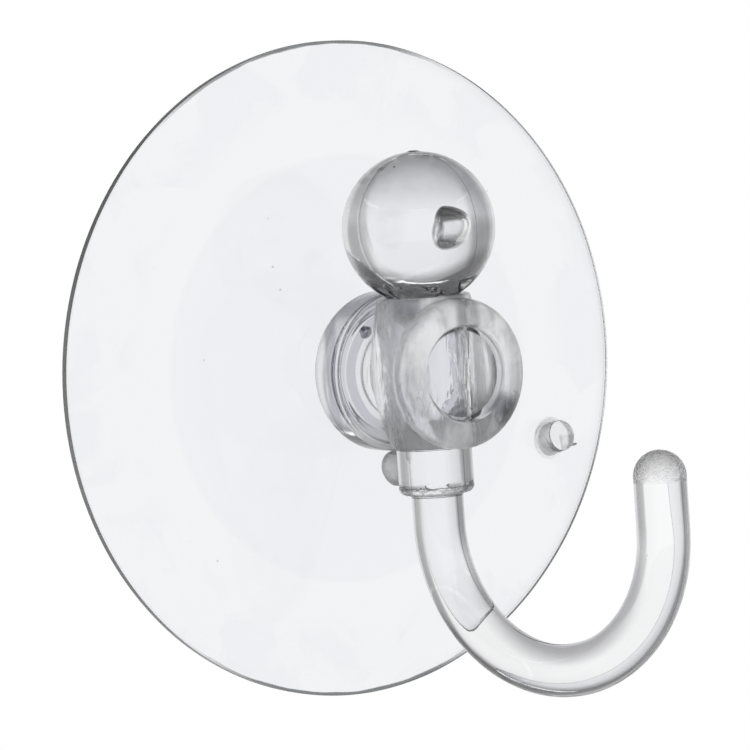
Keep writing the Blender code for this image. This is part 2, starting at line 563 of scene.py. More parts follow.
@dataclass(frozen=True)
class ClearPlastic:
    """What stays the same all over one clear plastic."""

    name: str
    colour: Triple
    # The edge colour is painted shade: the plastic is drawn darker where it turns away from sight.
    edge_painted_shade: Triple
    ior: float
    haze_colour: Triple = (0.88, 0.885, 0.90)
    haze_roughness: float = 0.45
    reflection: float = 1.0
    edge_shade_span: Span = (0.42, 0.75)

    def start(self) -> tuple[bpy.types.Material, Graph]:
        """A material with an empty graph.

        Returns:
            The material and its graph.
        """
        material = bpy.data.materials.new(self.name)
        material.use_nodes = True
        return material, Graph(material.node_tree)

    def tint(self, graph: Graph) -> Socket:
        """The plastic's colour, darkened by a painted shade where it turns away from sight."""
        facing = graph.signal("LayerWeight", "Facing", {"Blend": 0.5})
        return graph.blend(facing.ramp(*self.edge_shade_span), self.colour, self.edge_painted_shade)

    def close(
        self, graph: Graph, colour: Socket, roughness: Signal, relief: Signal, haze: Signal, milk: Socket
    ) -> None:
        """Add the clear shader, the milky one over it and the output.

        Args:
            graph: The material's graph.
            colour: The clear shader's colour.
            roughness: Its roughness.
            relief: The height of what is too fine for the mesh, in metres.
            haze: The share of the milky shader.
            milk: The milky shader's colour.
        """
        normal = graph.node("Bump", {"Height": relief, "Distance": 1.0}).outputs["Normal"]
        values = {"Base Color": colour, "Roughness": roughness, "Normal": normal}
        values |= {"IOR": self.ior, "Transmission Weight": 1.0, "Metallic": 0.0}
        values |= {"Specular Tint": (self.reflection,) * 3}
        clear = graph.node("BsdfPrincipled", values).outputs["BSDF"]
        values = {"Base Color": milk, "Roughness": self.haze_roughness, "Normal": normal}
        milky = graph.node("BsdfPrincipled", values).outputs["BSDF"]
        both = graph.node("MixShader", {0: haze, 1: clear, 2: milky}).outputs[0]
        graph.node("OutputMaterial", {"Surface": both})


@dataclass(frozen=True)
class HardPlastic(ClearPlastic):
    """The hook's polished clear plastic: flow ripples, a chipped foot to the ball with painted shade and a
    painted highlight, a crazed tip.
    """

    roughness: float = 0.02
    cloud: Noise = Noise(120.0, 3.0)
    cloud_roughness: float = 0.02
    ripples: Noise = Noise(330.0, 2.0, 0.6)
    ripple_height: float = 0.000010

    tip: Zone = Zone(up=(-0.0134, -0.0126), across=(-0.0480, -0.0490))
    tip_roughness: float = 0.05
    tip_haze: float = 0.08
    tip_shade: Shade = Shade(WHITE, 0.85)
    crazes: Noise = Noise(1100.0, 3.0, 1.5, draw=(1.0, 1.0, 1.6))
    craze_height: float = 0.00028
    frost: Noise = Noise(700.0, 2.0, 1.0, patches=(0.46, 0.60))
    frost_haze: float = 0.22

    chips: Zone = Zone(up=(0.0122, 0.0106, 0.0092, 0.0095))
    chip_scale: float = 420.0
    chip_patches: Noise = Noise(260.0, 1.0, patches=(0.44, 0.52))
    chip_height: float = 0.0011

    dust: Specks = Specks(260.0, 0.055, 0.35)
    dust_height: float = 0.00001
    dust_haze: float = 0.2
    dust_cover: float = 0.5
    foot_cover: float = 0.6
    # One grey lies on the dust specks and on a patchy band at the foot of the collar.
    dust_and_foot_colour: Shade = Shade((0.45, 0.45, 0.47))

    lug: Zone = Zone(from_column=(0.0050, 0.0053), up=(-0.0102, -0.0106), across=(-0.0180, -0.0170))
    foot: Zone = Zone(from_column=(0.0040, 0.0045, 0.0060, 0.0056), up=(-0.0143, -0.0149, -0.0156, -0.0153))
    foot_patches: Noise = Noise(900.0, 4.0, 1.0, patches=(0.42, 0.55))
    grain: Noise = Noise(1300.0, 4.0)
    grain_height: float = 0.0002
    grain_haze: float = 0.5
    skin_haze: float = 0.15
    skin_roughness: float = 0.3
    skin_dark: float = 0.28

    parting_wander: Noise = Noise(420.0, 2.0)
    parting_reach: float = 0.0016
    parting_cover: float = 0.7
    parting_line: Zone = Zone(off_plane=(0.00015, 0.00006), from_middle=(0.0093, 0.0095))
    parting_torn: Zone = Zone(torn_plane=(0.00035, 0.00012), from_middle=(0.0056, 0.0050))
    parting_front: Zone = Zone(back=(-0.0005, -0.0010))
    parting_shade: Shade = Shade((0.24, 0.24, 0.26), 0.8)

    # Painted shade and highlight: a dark facet low on the ball, and a bright line of milky haze along its
    # upper side.
    facet_way: Span = (0.82, -0.57)
    facet_slope: float = 0.85
    facet_line: float = 0.0085
    facet_wander: Noise = Noise(500.0, 2.0)
    facet_reach: float = 0.0009
    facet_place: Zone = Zone(lean=(-0.0034, -0.0040), out=(0.0, 0.0008), up=(0.0094, 0.0098))
    facet_side: Span = (0.0001, -0.0003)
    facet_crest: Span = (0.00022, 0.00006)
    crest_breaks: Span = (0.40, 0.50)
    crest_highlight_haze: float = 0.7
    facet_painted_shade: Shade = Shade((0.08, 0.08, 0.10), 0.85)

    # Painted shade: a dark patchy band round the ball's underside, just above the column.
    under: Zone = Zone(up=(0.0112, 0.0105, 0.0092, 0.0095))
    under_patches: Noise = Noise(620.0, 3.0, 0.8, patches=(0.42, 0.56))
    under_ball_painted_shade: Shade = Shade((0.14, 0.14, 0.16), 0.75)

    void_place: Triple = (0.0018, -0.020559, 0.0181679)
    void_wall: Span = (0.0034, 0.0032)
    void_top: Span = (0.0006, 0.0013)
    void_foot: Span = (-0.0010, -0.0015)
    void_foot_dark: float = 0.45
    void_roughness: float = 0.12
    void_haze: float = 0.8
    dark_colour: Triple = (0.05, 0.05, 0.06)

    def make(self) -> bpy.types.Material:
        """The material with its ripples, dust, rough and chipped places, painted shades and highlight, and
        crazed tip.

        Returns:
            The finished material.
        """
        material, graph = self.start()
        here = graph.place()
        here["back"] = here["across"] + AXIS_HEIGHT
        here["from_column"] = length_of(here["side"], here["back"])
        here["from_middle"] = abs(here["up"])
        tip = self.tip(here)
        chips = graph.facets(self.chip_scale) * self.chips(here) * graph.noise(self.chip_patches)
        dust = graph.specks(self.dust)
        foot = self.foot(here) * graph.noise(self.foot_patches)
        grain = graph.noise(self.grain)
        rough_skin = (self.lug(here) + foot).math("MINIMUM", 1.0)
        # The dark facet is painted shade, its bright upper line a painted highlight.
        facet_shade_mask, crest_highlight = self.painted_facet_shade(graph, here)
        under = self.under(here) * graph.noise(self.under_patches)
        near, shadow = self.void_shade(here)

        crazes = graph.noise(self.crazes) * tip
        relief = graph.noise(self.ripples) * self.ripple_height + crazes * self.craze_height
        relief = relief + chips * self.chip_height - dust * self.dust_height
        relief = relief + grain * rough_skin * self.grain_height
        tint = graph.layered(
            self.tint(graph),
            (tip, self.tip_shade),
            (dust * self.dust_cover + foot * self.foot_cover, self.dust_and_foot_colour),
            (self.parting(graph, here), self.parting_shade),
            # painted shade: the dark facet low on the ball
            (facet_shade_mask, self.facet_painted_shade),
            # painted shade: the band round the ball's underside
            (under, self.under_ball_painted_shade),
        )
        rough = self.roughness + graph.noise(self.cloud) * self.cloud_roughness + tip * self.tip_roughness
        rough = rough + rough_skin * self.skin_roughness + near * self.void_roughness
        haze = rough_skin * (self.skin_haze + grain * self.grain_haze) + tip * self.tip_haze
        haze = haze + graph.noise(self.frost) * tip * self.frost_haze + dust * self.dust_haze
        # The milky haze along the facet's upper side is a painted highlight.
        haze = haze + shadow * self.void_haze + crest_highlight * self.crest_highlight_haze
        milk = graph.blend(shadow + rough_skin * self.skin_dark, self.haze_colour, self.dark_colour)
        self.close(graph, tint, rough, relief, haze, milk)
        return material

    def parting(self, graph: Graph, here: Signals) -> Signal:
        """The thin parting line down the front of the ball and collar, ragged inside the head.

        Args:
            graph: The material's graph.
            here: The coordinates by name.

        Returns:
            The line's mask.
        """
        off_plane = abs(here["side"] * math.cos(REST_SWIVEL) + here["back"] * math.sin(REST_SWIVEL))
        torn_plane = off_plane + (graph.noise(self.parting_wander) - 0.5) * self.parting_reach
        here = here | {"off_plane": off_plane, "torn_plane": torn_plane}
        line_mask = self.parting_line(here) + self.parting_torn(here) * self.parting_cover
        return line_mask * self.parting_front(here)

    def painted_facet_shade(self, graph: Graph, here: Signals) -> tuple[Signal, Signal]:
        """A painted shade, a dark three-sided facet low on the ball, and a painted highlight, the bright line
        along its upper side.

        The facet lies below a plane that falls towards the ball's middle.

        Args:
            graph: The material's graph.
            here: The coordinates by name.

        Returns:
            The facet and its crest, each 0 to 1.
        """
        wander = graph.noise(self.facet_wander)
        lean = here["side"] * self.facet_way[0] + here["back"] * self.facet_way[1]
        out = here["side"] * self.facet_way[1] - here["back"] * self.facet_way[0]
        above = here["up"] + lean * self.facet_slope - self.facet_line + (wander - 0.5) * self.facet_reach
        place = self.facet_place(here | {"lean": lean, "out": out})
        crest_highlight = abs(above).ramp(*self.facet_crest) * place * wander.ramp(*self.crest_breaks)
        return above.ramp(*self.facet_side) * place, crest_highlight

    def void_shade(self, here: Signals) -> tuple[Signal, Signal]:
        """Where the void is, and how dark its wall is: most at its top, a little at its foot.

        Args:
            here: The coordinates by name.

        Returns:
            The void's place and its darkness, each 0 to 1.
        """
        x, y, z = (here[name] - mid for name, mid in zip(("side", "across", "up"), self.void_place))
        near = length_of(x, y, z).ramp(*self.void_wall)
        return near, near * (z.ramp(*self.void_top) + z.ramp(*self.void_foot) * self.void_foot_dark)


@dataclass(frozen=True)
class SoftPlastic(ClearPlastic):
    """The cup's soft plastic: glossy disc and flange, cloudy satin head, clear window."""

    roughness: float = 0.03
    mottle: Noise = Noise(90.0, 4.0, 0.8)
    mottle_roughness: float = 0.03
    mottle_height: float = 0.00002
    streaks: Noise = Noise(520.0, 3.0, 0.5, draw=(1.0, 1.0, 0.2))
    cloud: Noise = Noise(300.0, 4.0, 0.5)
    fine: Noise = Noise(2600.0, 2.0)

    head: Zone = Zone(height=(0.0134, 0.0146))
    window: Zone = Zone(from_axis=(0.0060, 0.0058), height=(0.0258, 0.0262))
    bore: Zone = Zone(from_column=(0.0051, 0.0049))
    bore_height: float = 0.0006
    satin_roughness: float = 0.07
    cloud_roughness: float = 0.12
    satin_haze: float = 0.09
    cloud_haze: float = 0.20
    streak_height: float = 0.00030
    cloud_height: float = 0.00006
    fine_height: float = 0.000004
    pale: Span = (0.60, 0.46)
    pale_cover: Span = (0.4, 0.6)
    head_shade: Shade = Shade((0.955, 0.96, 0.975))

    dust: Specks = Specks(170.0, 0.04, 0.34)
    dust_height: float = 0.00001
    dust_haze: float = 0.15
    dust_shade: Shade = Shade((0.40, 0.41, 0.43), 0.7)

    low_front: Zone = Zone(height=(0.0062, 0.0055))
    thick_zone: Zone = Zone(from_axis=(0.0282, 0.0272))
    blotches: Zone = Zone(mottle=(0.50, 0.56), from_axis=(0.0315, 0.0365))
    thick_shade: Shade = Shade((0.864, 0.870, 0.896))
    curl: Noise = Noise(210.0, 1.0, 1.5)
    curl_line: Span = (0.010, 0.004)
    curl_patches: Noise = Noise(75.0, 1.0, patches=(0.60, 0.66))
    curl_shade: Shade = Shade((0.864, 0.870, 0.896), 0.5)

    # Partly real, partly painted shade: the lip is milky all round, and its milk is drawn dark grey except
    # towards the right, paler at the far left.
    rim_line: Span = (0.0418, 0.0419)
    rim_wander: Noise = Noise(240.0, 2.0)
    rim_reach: float = 0.0004
    rim_left: Span = (-0.005, -0.035)
    rim_left_reach: float = 0.0002
    rim_dark: Span = (0.021, 0.009)
    rim_pale: Span = (-0.018, -0.030)
    rim_pale_share: float = 0.8
    rim_haze: Span = (0.12, 0.62)
    rim_painted_shade: Triple = (0.22, 0.225, 0.23)
    # Painted shade: a faint grey on the lip towards the right.
    fringe: Zone = Zone(from_axis=(0.0406, 0.0421), side=(0.004, 0.022))
    fringe_painted_shade: Shade = Shade((0.74, 0.745, 0.76), 0.35)

    flange: Zone = Zone(height=(0.0069, 0.0074, 0.0146, 0.0134))
    flange_cover: Span = (0.55, 0.6)
    flange_haze: float = 0.05
    # Painted shade: the flange is darkened all over, more along the flow streaks.
    flange_painted_shade: Shade = Shade((0.60, 0.605, 0.635))
    # Painted shade: a dark bluish band on the flange's outer wall, a slanting strip and its upper left part,
    # stronger along the streaks.
    belt_slope: float = 0.685
    belt_side: Zone = Zone(slant=(-0.0027, -0.0021, -0.0002, -0.0010))
    belt_top: Zone = Zone(up=(0.0068, 0.0080), side=(0.0, -0.0030))
    belt_wall: Zone = Zone(height=(0.0130, 0.0127, 0.0072, 0.0078), from_axis=(0.0093, 0.0097))
    belt_cover: Span = (0.6, 0.5)
    belt_painted_shade: Shade = Shade((0.22, 0.22, 0.27))
    # Painted shade: dark rings in the hollow between flange and web, on all but its lowest part.
    hollow: Zone = Zone(height=(0.0118, 0.0124, 0.0158, 0.0151))
    hollow_top: Zone = Zone(up=(-0.0092, -0.0068))
    hollow_foot: Zone = Zone(up=(-0.0045, -0.0075))
    hollow_haze: float = 0.5
    ring_bend: float = 0.0003
    rings: tuple[tuple[Zone, float], ...] = (
        (Zone(bent=(0.0082, 0.0084, 0.0091, 0.0088)), 0.5),
        (Zone(bent=(0.0069, 0.0071, 0.0082, 0.0080)), 0.85),
        (Zone(bent=(0.00610, 0.00618, 0.00634, 0.00626)), 0.5),
    )
    hollow_ring_painted_shade: Shade = Shade((0.27, 0.28, 0.33))

    # Painted shade: a near-black patch low on the right of the knob's face, where the haze is also thinned.
    knob_painted_shade: Zone = Zone(from_smudge=(1.6, 0.2), height=(0.0225, 0.0240))
    knob_shade_place: Span = (0.0054, -0.0018)
    knob_shade_slope: float = 0.5
    knob_shade_half: Span = (0.0020, 0.0024)
    knob_shade_squash: float = 0.35
    knob_shade_wander: float = 1.6
    knob_shade_clear: float = 0.7
    knob_painted_shade_colour: Shade = Shade((0.09, 0.09, 0.11), 0.95)
    front: Zone = Zone(height=(0.0235, 0.0245))
    # Painted shade: a dark gap at the top of the knob's face, where the column shows through.
    column_gap_side: float = 0.0009
    off_column_gap: Span = (0.0010, 0.0024)
    column_gap_top: Zone = Zone(up=(0.0045, 0.0060))
    column_gap_clear: float = 0.8
    column_gap_painted_shade: Shade = Shade((0.36, 0.365, 0.39), 0.8)
    glow_rise: Zone = Zone(up=(-0.0085, 0.0060))
    glow_top: Zone = Zone(up=(-0.0005, 0.0065))
    glow_foot: Zone = Zone(up=(-0.0045, -0.0070), side=(0.0012, -0.0006))
    glow_end_share: float = 0.4
    glow_top_share: Span = (0.15, 0.45)
    glow_cloud: Span = (0.36, 0.60)
    glow_haze: Span = (0.26, 0.34)
    # Painted shade: a grey crescent inside the right of the window.
    crescent: Zone = Zone(frayed=(0.0043, 0.0050), side=(0.0020, 0.0034))
    crescent_fray: float = 0.0012
    crescent_painted_shade: Shade = Shade((0.42, 0.425, 0.44), 0.75)
    window_wall: Zone = Zone(
        from_axis=(0.0055, 0.0057, 0.0062, 0.0060), height=(0.0261, 0.0264), side=(0.0022, 0.0044)
    )
    window_wall_haze: float = 0.45

    peg_place: Span = (0.03137, -0.01260)
    peg: Zone = Zone(from_peg=(0.0030, 0.0026), height=(0.0012, 0.0018))
    peg_wall: Zone = Zone(height=(0.0040, 0.0034))
    peg_roughness: float = 0.2
    peg_haze: float = 0.25
    peg_wall_haze: float = 0.4
    patch: Zone = Zone(
        from_patch=(0.0030, 0.0026),
        peg_side=(-0.0007, -0.0004),
        height=(0.0037, 0.0040),
        peg_up=(0.0009, 0.0002),
    )
    patch_shift: Span = (0.0007, -0.0004)
    patch_cloud: Span = (0.35, 0.55)
    patch_clear: float = 0.2
    patch_shade: Shade = Shade((0.35, 0.355, 0.37))

    def make(self) -> bpy.types.Material:
        """The material with its zones, mottling, specks and ripples.

        Returns:
            The finished material.
        """
        material, graph = self.start()
        here = graph.place()
        self.measure(graph, here)
        side, from_axis = here["side"], here["from_axis"]
        mottle, streaks, cloud = here["mottle"], here["streaks"], here["cloud"]
        window, bore = self.window(here), self.bore(here)
        satin = self.head(here) * (1.0 - window) * (1.0 - bore)
        dust = graph.specks(self.dust) * (1.0 - satin)
        curl = abs(graph.noise(self.curl) - 0.5).ramp(*self.curl_line) * graph.noise(self.curl_patches)
        # The dark patch on the knob's face is painted shade.
        knob_painted_shade = self.knob_painted_shade(here) * satin
        uneven = graph.noise(self.rim_wander) * self.rim_reach
        uneven = uneven + side.ramp(*self.rim_left) * self.rim_left_reach
        rim = (from_axis - uneven).ramp(*self.rim_line)
        dark_rim = side.ramp(*self.rim_dark) * (1.0 - side.ramp(*self.rim_pale) * self.rim_pale_share)
        flange, hollow = self.flange(here), self.hollow(here)
        belt = (self.belt_side(here) + self.belt_top(here)) * self.belt_wall(here)
        rings = sum(zone(here) * share for zone, share in self.rings)
        peg, patch = self.peg(here), self.patch(here)
        column_gap_shade, glow = self.knob_glow(here, satin)

        relief = streaks * self.streak_height + cloud * self.cloud_height
        relief = (relief + graph.noise(self.fine) * self.fine_height) * satin + mottle * self.mottle_height
        relief = relief + bore * cloud * self.bore_height - dust * self.dust_height
        tint = graph.layered(
            self.tint(graph),
            (satin * self.pale_share(cloud), self.head_shade),
            # painted shade: the dark patch on the knob's face
            (knob_painted_shade, self.knob_painted_shade_colour),
            ((self.thick_zone(here) + self.blotches(here)) * self.low_front(here), self.thick_shade),
            (dust, self.dust_shade),
            (curl * self.low_front(here), self.curl_shade),
            # painted shade: the faint grey on the lip towards the right
            (self.fringe(here), self.fringe_painted_shade),
            # painted shade over the flange
            (flange * (self.flange_cover[0] + streaks * self.flange_cover[1]), self.flange_painted_shade),
            # painted shade: the dark band on the flange's wall
            (belt * (self.belt_cover[0] + streaks * self.belt_cover[1]), self.belt_painted_shade),
            # painted shade: dark rings in the hollow
            (hollow * rings * self.hollow_top(here), self.hollow_ring_painted_shade),
            # painted shade: the crescent inside the window
            (self.crescent(here) * window, self.crescent_painted_shade),
            # painted shade: the dark gap at the top of the knob's face
            (column_gap_shade, self.column_gap_painted_shade),
            (patch * cloud.ramp(*self.patch_cloud), self.patch_shade),
        )
        rough = self.roughness + mottle * self.mottle_roughness + peg * self.peg_roughness
        rough = rough + satin * (self.satin_roughness + cloud * self.cloud_roughness)
        haze = satin * (self.satin_haze + cloud * self.cloud_haze) + dust * self.dust_haze
        haze = haze + flange * self.flange_haze + glow + hollow * self.hollow_foot(here) * self.hollow_haze
        haze = haze + self.window_wall(here) * self.window_wall_haze
        on_peg = self.peg_haze + self.peg_wall(here) * self.peg_wall_haze - patch * self.patch_clear
        haze = haze * (1.0 - knob_painted_shade * self.knob_shade_clear) + peg * on_peg
        haze = haze + (self.rim_haze[0] + dark_rim * self.rim_haze[1] - haze) * rim
        # The rim's dark grey milk is painted shade.
        milk = graph.blend(rim * dark_rim, self.haze_colour, self.rim_painted_shade)
        self.close(graph, tint, rough, relief, haze, milk)
        return material

    def measure(self, graph: Graph, here: Signals) -> None:
        """Add the coordinates and patterns that the zones are laid out by.

        Args:
            graph: The material's graph.
            here: The coordinates by name, which grow.
        """
        side, up = here["side"], here["up"]
        height = here["height"] = -here["across"]
        here["from_axis"] = length_of(side, up)
        here["from_column"] = length_of(side, height - AXIS_HEIGHT)
        here["mottle"] = graph.noise(self.mottle)
        streaks = here["streaks"] = graph.noise(self.streaks)
        here["cloud"] = graph.noise(self.cloud) * 0.5 + streaks * 0.5
        here["slant"] = side + height * self.belt_slope
        here["bent"] = here["from_axis"] - (streaks - 0.5) * self.ring_bend
        here["frayed"] = here["from_axis"] - (streaks - 0.5) * self.crescent_fray
        # Distance from the middle of the painted shade patch on the knob's face.
        right = (side - self.knob_shade_place[0]) / self.knob_shade_half[0]
        below = (up + side * self.knob_shade_slope - self.knob_shade_place[1]) / self.knob_shade_half[1]
        reach = (right * right * self.knob_shade_squash + below * below).math("SQRT")
        here["from_smudge"] = reach + (here["cloud"] - 0.5) * self.knob_shade_wander
        aside = here["peg_side"] = side - self.peg_place[0]
        above = here["peg_up"] = up - self.peg_place[1]
        here["from_peg"] = length_of(aside, above)
        here["from_patch"] = length_of(aside - self.patch_shift[0], above - self.patch_shift[1])

    def pale_share(self, cloud: Signal) -> Signal:
        """How pale the head's cloudy plastic is."""
        return self.pale_cover[0] + cloud.ramp(*self.pale) * self.pale_cover[1]

    def knob_glow(self, here: Signals, satin: Signal) -> tuple[Signal, Signal]:
        """The knob's milky face, and a painted shade at its top: the dark gap where the column shows through.

        Args:
            here: The coordinates by name.
            satin: Where the head's satin skin is.

        Returns:
            The gap and the milk, each 0 to 1.
        """
        front = self.front(here) * satin
        middle = abs(here["side"] - self.column_gap_side).ramp(*self.off_column_gap)
        column_gap_shade = (1.0 - middle) * self.column_gap_top(here) * front
        glow = (self.glow_rise(here) + self.glow_foot(here)) * self.glow_end_share
        glow = glow + self.glow_top(here) * (self.glow_top_share[0] + middle * self.glow_top_share[1])
        clouds = self.glow_haze[0] + here["cloud"].ramp(*self.glow_cloud) * self.glow_haze[1]
        return column_gap_shade, glow * front * clouds * (1.0 - column_gap_shade * self.column_gap_clear)


@dataclass
class SuctionCup:
    """The soft moulding: disc, neck, flange, head with its cross hole, and peel peg."""

    columns: int = 256
    disc_radius: float = 0.0425
    land_width: float = 0.0012
    lip: float = 0.0011
    lip_corner: float = 0.00014
    lip_end: float = 88.0
    hollow_depth: float = 0.0022
    skirt_height: float = 0.0022
    zone_radius: float = 0.0280
    zone_power: float = 1.5
    core_height: float = 0.0056
    neck_radius: float = 0.0070
    neck_fillet: float = 0.0012
    neck_start: float = -100.0
    flange_radius: float = 0.0103
    flange_back: float = 0.0073
    flange_middle: float = 0.0095
    flange_front: float = 0.01295
    flange_back_round: float = 0.0024
    flange_front_round: float = 0.0009
    flange_back_power: float = 2.0
    flange_front_power: float = 4.0
    web_middle: float = 0.0082
    web_run: float = 0.0025
    web_rise: float = 0.0022
    web_end: float = 0.0149
    web_start: float = -30.0
    web_turn: float = 62.0
    web_waist: float = 0.0056
    web_marks: tuple[float, ...] = (0.0088, 0.0080, 0.0071)
    web_step: float = 0.00005
    web_step_run: float = 0.00012
    barrel_radius: float = 0.0072
    barrel_end_radius: float = 0.0053
    barrel_top_radius: float = 0.0059
    barrel_edge: float = 0.0004
    half_height: float = 0.0098
    lower_height: float = 0.0094
    knob_radius: float = 0.0095
    knob_reach: float = 0.0082
    knob_edge: float = 0.0014
    knob_rim: float = 0.0009
    knob_back: float = 0.0034
    knob_back_power: float = 0.6
    face_overlap: float = 0.0002
    window_radius: float = 0.00575
    window_depth: float = 0.0010
    window_edge: float = 0.0003
    bore_radius: float = 0.0048
    bore_heights: tuple[float, ...] = (-0.0125, -0.0095, -0.0045, 0.0, 0.0045, 0.0095, 0.0125)
    blend: float = 0.0008
    blend_turn: float = math.radians(5.0)
    head_rows: int = 118
    head_samples: int = 1500
    head_ease: int = 12
    head_ease_margin: int = 20
    head_even_share: float = 0.8
    bubble_radius: float = 0.0009
    bubble_place: Triple = (-0.0038, -0.0110, 0.0051)
    rim_wave: float = 0.00004
    rim_wave_run: float = 0.004
    rim_wave_orders: tuple[int, ...] = (3, 7, 11, 19)
    rim_wave_phase: float = 1.7
    peg_radius: float = 0.00205
    peg_height: float = 0.0028
    peg_edge: float = 0.0002
    peg_flare: float = 1.12
    peg_flare_height: float = 0.0008
    peg_distance: float = 0.0339
    peg_angle: float = math.radians(-22.3)
    peg_lean: float = math.radians(12.0)
    tail_place: Span = (0.0016, -0.0014)
    tail_depth: float = 0.0002
    tail_axes: tuple[Triple, ...] = ((0.0007, 0.0, 0.0), (0.0, 0.00015, 0.0), (0.0001, 0.0, 0.0002))
    turns: Array = field(init=False)

    def __post_init__(self) -> None:
        """Work out the turn of each column."""
        self.turns = full_turn(self.columns)

    def skirt_front(self, radius: Any) -> Any:
        """Height of the skirt's front face, a straight slope from the thick zone to the lip.

        Args:
            radius: Distance from the cup's axis.

        Returns:
            The height above the pane.
        """
        outer = self.disc_radius - self.lip / 2
        share = (outer - radius) / (outer - self.zone_radius)
        return self.lip + (self.skirt_height - self.lip) * share

    def disc_profile(self) -> Array:
        """The dished back, the lip and the front up to the web, as (radius, height).

        The back is a parabola, the skirt a straight slope, and the thick zone rises
        with the 1.5th power of the run towards the neck.

        Returns:
            Profile points without the pole.
        """
        outer = self.disc_radius - self.lip / 2
        land = outer - self.land_width
        back = np.linspace(0.0, land, 34)[1:]
        hollow = beside(back, self.hollow_depth * (1 - (back / land) ** 2))
        corner = self.lip_corner
        wall = self.disc_radius - corner
        lip = joined(
            line((land, 0.0), (wall, 0.0), 6),
            arc((wall, corner), corner, -90, 0, 7),
            arc((wall, self.lip - corner), corner, 0, self.lip_end, 7),
        )
        run = np.linspace(outer - corner, self.zone_radius, 16)[1:]
        skirt = beside(run, self.skirt_front(run))
        foot = self.neck_radius + self.neck_fillet
        share = np.linspace(0.0, 1.0, 26)[1:]
        rise = self.skirt_height + (self.core_height - self.skirt_height) * share**self.zone_power
        zone = beside(self.zone_radius + (foot - self.zone_radius) * share, rise)
        neck = arc((foot, self.core_height + self.neck_fillet), self.neck_fillet, self.neck_start, -180, 9)
        back_rise, front_rise = self.flange_middle - self.flange_back, self.flange_front - self.flange_middle
        rim = joined(
            [(self.neck_radius, self.flange_back)],
            self.rounded(-90, 0, self.flange_back_round, back_rise, self.flange_back_power),
            self.rounded(0, 90, self.flange_front_round, front_rise, self.flange_front_power),
        )
        return joined(hollow, lip, skirt, zone, neck, rim, self.web_arc(self.web_start, self.web_turn, 90))

    def rounded(self, start: float, end: float, out: float, rise: float, power: float) -> Array:
        """A quarter of the flange's rim: |u|^power + |v|^power = 1, scaled by out and rise.

        Args:
            start: First angle in degrees from outward.
            end: Last angle in degrees.
            out: How far the quarter reaches outward.
            rise: How far it reaches along the axis.
            power: 2 for an ellipse, more for a squarer corner.

        Returns:
            The points, as (radius, height).
        """
        turns = np.radians(np.linspace(start, end, 24))
        u, v = np.cos(turns), np.sin(turns)
        scale = (np.abs(u) ** power + np.abs(v) ** power) ** (-1.0 / power)
        return beside(self.flange_radius - out + out * u * scale, self.flange_middle + rise * v * scale)

    def web_arc(self, start: float, end: float, count: int) -> Array:
        """The hollow curve from the flange's front edge to the web: part of an ellipse.

        Small steps, each a hyperbolic tangent of the radius, leave rings in it.

        Args:
            start: First angle in degrees, 0 at the lowest point of the hollow.
            end: Last angle in degrees, 90 where it meets the web.
            count: How many points.

        Returns:
            The points, as (radius, height).
        """
        turns = np.radians(np.linspace(start, end, count))
        radius = self.web_middle - self.web_run * np.sin(turns)
        steps = sum(np.tanh((radius - mark) / self.web_step_run) for mark in self.web_marks) * self.web_step
        return beside(radius, self.web_end - self.web_rise * np.cos(turns) - steps)

    def lathe_profile(self) -> Array:
        """The web, the knob's back and its round edge.

        The hollow curve runs on in a straight line, the knob's back falls with the 0.6th
        power of the way from its rim to the waist, and the edge is a quarter circle.

        Returns:
            The points, as (radius, height).
        """
        face = AXIS_HEIGHT + self.knob_reach
        rim_back = face - self.knob_edge - self.knob_rim
        share = np.linspace(1.0, 0.0, 160)
        narrowing = self.knob_radius + (self.web_waist - self.knob_radius) * share
        slope = beside(narrowing, rim_back - self.knob_back * share**self.knob_back_power)
        hollow = self.web_arc(self.web_turn, 90.0, 80)
        web = joined(hollow, line(tuple(hollow[-1]), tuple(slope[0]), 160))
        edge = arc((self.knob_radius - self.knob_edge, face - self.knob_edge), self.knob_edge, 0, 90, 60)
        return joined(web, slope, edge)

    def head_rings(self) -> Array:
        """Rings of the web, barrel and knob, seen as radii from the head's centre.

        At polar angle a from the front and turn t, the radius is the eased larger one
        of the turned profile's radius at a and the barrel's radius at its own polar
        angle, whose cosine is sin(a) times sin(t).

        Returns:
            Points as rows by columns by 3.
        """
        profile = self.lathe_profile()
        rise = profile[:, 1] - AXIS_HEIGHT
        polar = np.arctan2(profile[:, 0], rise)
        even = np.linspace(polar.min(), polar.max(), self.head_samples)
        lathe = np.interp(even, polar[::-1], np.hypot(profile[:, 0], rise)[::-1])
        inner = slice(self.head_ease_margin, -self.head_ease_margin)
        lathe[inner] = eased(lathe, self.head_ease)[inner]
        length = np.concatenate([[0.0], np.cumsum(np.hypot(np.diff(even) * lathe[1:], np.diff(lathe)))])
        measure = length / length[-1] + self.head_even_share * (even - even[0]) / (even[-1] - even[0])
        rows = np.interp(np.linspace(0.0, measure[-1], self.head_rows), measure, even)[::-1]
        rows_down = rows[:, None]
        out = np.sin(rows_down) * np.cos(self.turns)[None, :]
        rise = np.sin(rows_down) * np.sin(self.turns)[None, :]
        plain = np.broadcast_to(np.interp(rows, even, lathe)[:, None], out.shape)
        fade = np.clip((rows[0] - rows_down) / self.blend_turn, 0.0, 1.0)
        upper = self.barrel_reach(rise, self.half_height, self.barrel_top_radius)
        lower = self.barrel_reach(rise, self.lower_height, self.barrel_end_radius)
        barrel = np.where(rise > 0.0, upper, lower)
        radius = plain + (smooth_max(plain, barrel, self.blend) - plain) * fade**2 * (3 - 2 * fade)
        return beside(radius * out, -AXIS_HEIGHT - radius * np.cos(rows_down), radius * rise)

